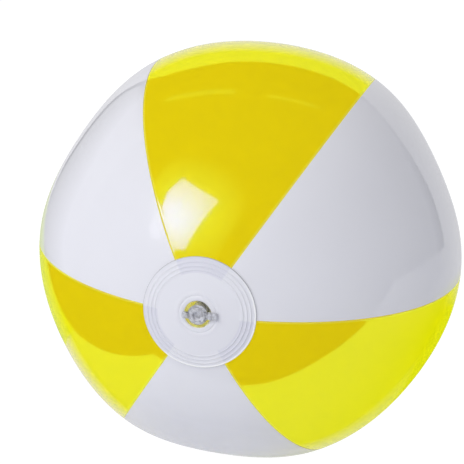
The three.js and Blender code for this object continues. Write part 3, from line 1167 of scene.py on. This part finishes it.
TABLE_DEPTH = -0.002
CEILING = 1.64
BACKDROP_DISTANCE = 1.0
FACE_GAP = 1.02
SOFTBOX = (
    (-0.712, -1.045, 1.51), (-0.205, -1.418, 1.364), (-0.61, -1.69, 0.59), (-0.8, -1.6, 0.55),
    (-0.985, -1.18, 1.05), (-0.911, -1.098, 1.25))
SOFTBOX_FACE = [Vector(corner) * FACE_GAP for corner in SOFTBOX]
CARDS = (
    Card("table_top", 1.5, level(
        TABLE_DEPTH, (-0.13, -0.222), (0.03, -0.187), (2.4, 0.04), (2.4, 1.2), (-0.94, 1.2),
        (-0.86, 0.87), (-0.489, 0.197), (-0.351, 0.068), (-0.262, -0.024), (-0.204, -0.112),
    # The patch paints a pool of yellow light on the table near the ball, for light that comes through the
    # film.
    ), Patch((0.16, 0.17, 0.0), 0.1, 0.28, (0.92, 1.0, 0.02))),
    Card("table_side", 1.5, level(
        0.0, (-0.86, 0.87), (-0.489, 0.197), (-0.351, 0.068), (-0.262, -0.024), (-0.2, 0.1), (-0.3, 0.5),
        (-0.5, 0.9),
    # The patch paints yellower light on the side card.
    ), Patch((-0.4, 0.25, 0.0), 0.3, 1.2, (0.85, 1.0, 0.3))),
    Card("backdrop", 1.5, upright(
        BACKDROP_DISTANCE, (-0.96, -0.1), (-0.94, -0.02), (-0.795, 0.09), (-0.787, 0.33), (-0.83, 0.54),
        (-0.86, 0.9), (-0.84, 1.1), (-0.6, 1.27), (-0.35, 1.21), (0.14, 1.09), (0.5, 0.93), (0.75, 0.8),
        (0.87, 0.6), (0.86, 0.28), (1.06, -0.1),
    )),
    Card("left_wall", 0.95, (
        (-0.906, 0.8, -0.08), (-0.867, 0.97, 0.08), (-0.865, 0.98, 0.4), (-0.878, 0.92, 0.8),
        (-1.1, -0.05, 1.2), (-1.1, -0.05, -0.12), (-0.963, 0.55, -0.13),
    )),
    Card("ceiling_strip", 0.7, level(
        CEILING, (-1.02, 0.47), (-0.66, 0.39), (-0.24, 0.365), (-0.24, 0.47), (-0.66, 0.495), (-1.02, 0.58),
    )),
    Card("ceiling_arc", 0.7, level(
        CEILING, (0.03, 0.37), (0.3, 0.42), (0.6, 0.51), (0.6, 0.56), (0.3, 0.48), (0.03, 0.43),
    )),
    Card("softbox_glare", 124.0, SOFTBOX, Patch(
        (-0.76, -1.342, 0.96), 0.1, 0.6, (0.042, 0.034, 1.0), (0.0307, 0.0225, 0.38),
    ), Reach.YELLOW_FILM, 0.5),
    Card("softbox_face", 6.4, SOFTBOX_FACE, reach=Reach.ALL_BUT_YELLOW),
    Card("softbox_wing", 3.2, (
        (-1.06, -1.17, 1.0), (-1.29, -1.22, 0.71), (-1.27, -1.33, 0.55), (-1.0, -1.45, 0.6),
    ), reach=Reach.ALL_BUT_YELLOW),
    Card("softbox_spill", 1.15, (
        (-0.76, -0.69, 2.13), (0.42, -1.48, 1.83), (-0.45, -2.22, 0.05), (-1.97, -1.22, 0.33),
    ), Patch((-0.69, -1.4, 1.08), 0.4, 1.05, WHITE, (0.13, 0.13, 0.13))),
)


@dataclass
class Studio:
    """A pale floor, a white table and backdrop for the gloss to mirror, a softbox and soft light.

    The yellow film is so full of colour that a white glare on it would clip to a hard patch. The card
    that glares on it is therefore strong in blue, which the film lacks, and shines on nothing else.
    """

    yellow_film: Sequence[Object]
    floor_size: float = 12.0
    floor_colour: Colour = (0.815, 0.84, 0.91)
    floor_glow: float = 1.1
    floor_white: float = 0.9
    key_power: float = 12.0
    key_size: float = 1.1
    back_power: float = 5.0
    back_size: float = 0.5
    back_place: Spot = (-0.4, 1.6, 0.27)
    inner_power: float = 0.27
    inner_size: float = 0.04
    ambient: float = 0.59
    dark_room: float = 0.15

    def floor(self) -> None:
        """Lay the floor, which the camera sees as white with the ball's shadow."""
        bm = bmesh.new()
        bmesh.ops.create_grid(bm, x_segments=2, y_segments=2, size=self.floor_size / 2)
        board = Board(bpy.data.materials.new("pale_floor"))
        paper = board.node("ShaderNodeBsdfDiffuse", Color=self.floor_colour)
        bright = board.node("ShaderNodeEmission", Color=WHITE, Strength=self.floor_glow)
        seen = board.out("ShaderNodeLightPath", "Is Camera Ray")
        share = board.ramp(seen, 0.0, 1.0, 0.0, self.floor_white)
        sheet = stage("pale_floor", bm, board.finish(board.layer(share, paper, bright)))
        sheet.visible_glossy = False

    def lamp(self, name: str, power: float, size: float, place: Vector) -> None:
        """Hang a soft lamp that is aimed at the ball and shows in no mirror.

        Args:
            name: Its name.
            power: Its power in watts.
            size: The length of its sides in metres.
            place: Where it hangs.
        """
        data = bpy.data.lights.new(name, "AREA")
        data.energy = power
        data.size = size
        thing = add_object(name, data)
        thing.location = place
        thing.rotation_mode = "QUATERNION"
        thing.rotation_quaternion = (FORM.centre() - place).to_track_quat("-Z", "Y")
        thing.visible_glossy = False

    def lamps(self) -> None:
        """Hang the key light in the softbox, and a low lamp so that the ball's back isn't left grey."""
        middle = sum((Vector(corner) for corner in SOFTBOX), Vector()) / len(SOFTBOX)
        self.lamp("key", self.key_power, self.key_size, middle)
        self.lamp("back", self.back_power, self.back_size, Vector(self.back_place))

    def inner_glow(self) -> None:
        """Hang a small lamp in the ball for the daylight that the film lets in and spreads."""
        data = bpy.data.lights.new("inner_glow", "POINT")
        data.energy = self.inner_power
        data.shadow_soft_size = self.inner_size
        thing = add_object("inner_glow", data)
        thing.location = FORM.centre()
        thing.visible_camera = False
        thing.visible_glossy = False
        thing.visible_transmission = False

    def room(self) -> None:
        """Set the world: white to the camera and through clear pieces, soft to matt film, dark to gloss."""
        board = Board(bpy.data.worlds.new("studio"), "ShaderNodeOutputWorld")
        rays = board.node("ShaderNodeLightPath").outputs
        seen = board.most(rays["Is Camera Ray"], rays["Is Transmission Ray"])
        soft = board.ramp(rays["Is Diffuse Ray"], 0.0, 1.0, self.dark_room, self.ambient)
        air = board.node("ShaderNodeBackground", Color=WHITE, Strength=board.most(seen, soft))
        bpy.context.scene.world = board.finish(air)

    def build(self) -> None:
        """Set up the whole studio."""
        self.floor()
        for card in CARDS:
            card.build(self.yellow_film)
        self.lamps()
        self.inner_glow()
        self.room()


@dataclass
class PhotoCamera:
    """The camera at the photograph's place, aimed a little past the ball's middle."""

    azimuth: float = math.radians(13.40)
    elevation: float = math.radians(15.80)
    lens: float = 128.3
    sensor: float = 36.0
    distance: float = 1.12
    shift_right: float = -0.0125
    shift_up: float = 0.0116

    def build(self) -> None:
        """Place the camera and make it the scene's."""
        data = bpy.data.cameras.new("photo_camera")
        data.lens = self.lens
        data.sensor_width = self.sensor
        thing = add_object("photo_camera", data)
        tilt = Matrix.Rotation(math.pi / 2 - self.elevation, 4, "X")
        turn = Matrix.Rotation(self.azimuth, 4, "Z") @ tilt
        place = FORM.centre() + turn @ Vector((self.shift_right, self.shift_up, self.distance))
        thing.matrix_world = Matrix.Translation(place) @ turn
        bpy.context.scene.camera = thing


def gores(finishes: Finishes) -> list[Gore]:
    """List the six gores in order round the ball, from the top."""
    return [
        Gore("film_yellow_top", "yellow_gore_top", 0, Tint.YELLOW, finishes),
        Gore("film_white_upper_left", "white_gore_upper_left", 1, Tint.WHITE, finishes),
        Gore("film_yellow_lower_left", "yellow_gore_lower_left", 2, Tint.YELLOW, finishes),
        Gore("film_white_bottom", "white_gore_bottom", 3, Tint.WHITE, finishes),
        Gore("film_yellow_lower_right", "yellow_gore_lower_right", 4, Tint.YELLOW, finishes),
        Gore("film_white_upper_right", "white_gore_upper_right", 5, Tint.WHITE, finishes),
    ]


def report(piece: Object) -> None:
    """Log a piece's name and its number of faces."""
    LOG.info("%s: %d faces", piece.name, len(piece.data.polygons))


def main() -> None:
    """Build the ball, its studio and its camera."""
    logging.basicConfig(level=logging.INFO, format="%(name)s: %(message)s")
    bpy.context.scene.view_settings.view_transform = "Standard"
    finishes = Finishes.mix()
    yellow_film = []
    for gore in gores(finishes):
        film = gore.build()
        report(film)
        if gore.tint is Tint.YELLOW:
            yellow_film.append(film)
    for disc in (
        PoleDisc("valve_side_disc", "valve_disc", Pole.VALVE, finishes),
        PoleDisc("far_side_disc", "rear_disc", Pole.REAR, finishes),
    ):
        report(disc.build())
    for piece in Valve(finishes).build():
        report(piece)
    Studio(yellow_film).build()
    PhotoCamera().build()


if __name__ == "__main__":
    main()
